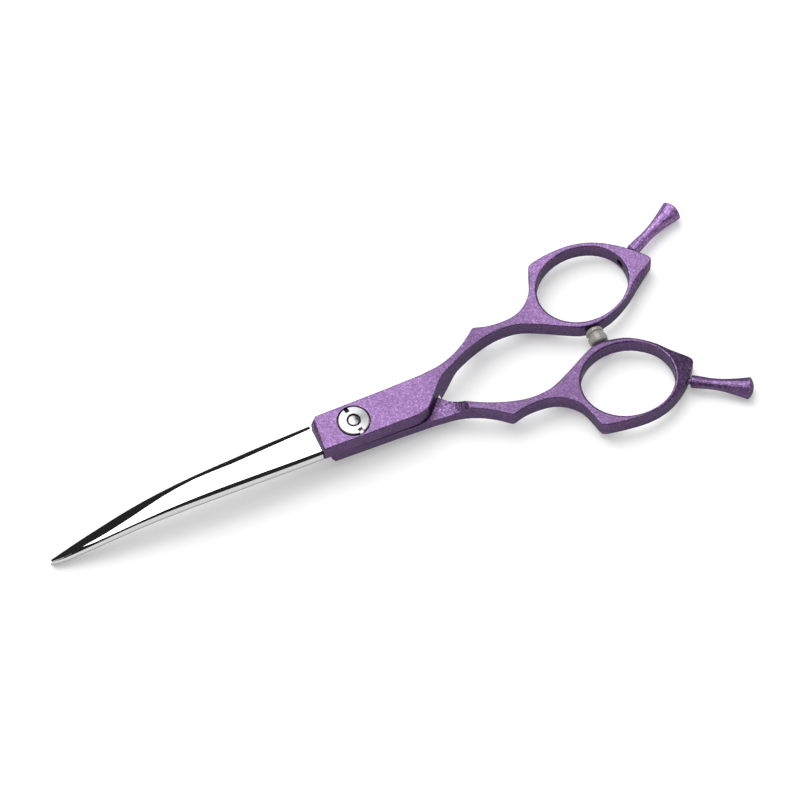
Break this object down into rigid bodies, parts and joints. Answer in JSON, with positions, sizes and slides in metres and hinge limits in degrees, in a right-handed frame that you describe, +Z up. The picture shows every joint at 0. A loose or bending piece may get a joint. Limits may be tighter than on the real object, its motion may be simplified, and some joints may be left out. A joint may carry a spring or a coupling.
{
  "type": "curved grooming shears",
  "caption": "Curved-blade grooming shears: mirror-polished bowed blades, coated finger-ring handles, screw-in finger rests, a soft stop and an adjustable tension nut at the pivot.",
  "frame": {"origin": "on the table, under the middle of the closed shears' bounding box", "axes": "+X along the shears from blade tip to finger rings, +Y towards the upper half's ring, +Z up from the table they lie on"},
  "size_m": [0.1798, 0.0584, 0.0126],
  "materials": {
    "coating": "metallic sparkle coat over cast steel, satin gloss",
    "rest_coating": "the same metallic coat over a turned piece",
    "blade_steel": "stainless cutlery steel, mirror polished",
    "pivot_steel": "turned stainless steel",
    "spring_steel": "plain spring steel",
    "bronze": "sintered bearing bronze",
    "nylon": "plain nylon",
    "silicone": "translucent silicone"
  },
  "bodies": {
    "lower_half": {"lower_handle": "coating", "lower_blade": "blade_steel", "pivot_bolt": "pivot_steel", "lower_finger_rest": "rest_coating", "ride_washer": "nylon"},
    "upper_half": {"upper_handle": "coating", "upper_blade": "blade_steel", "pivot_bush": "bronze", "upper_finger_rest": "rest_coating", "bumper": "silicone", "tension_spring": "spring_steel"},
    "nut": {"tension_nut": "pivot_steel"}
  },
  "joints": [
    {"name": "blade_pivot", "type": "hinge", "parent": "lower_half", "child": "upper_half", "pos_m": [-0.00834, 0.00085, 0.00782], "axis": [0.0518, 0, 0.9987], "range_deg": [0, 120]},
    {"name": "tension_turn", "type": "hinge", "parent": "lower_half", "child": "nut", "pos_m": [-0.00813, 0.00085, 0.01182], "axis": [0.0518, 0, 0.9987], "range_deg": [-90, 90]}
  ]
}
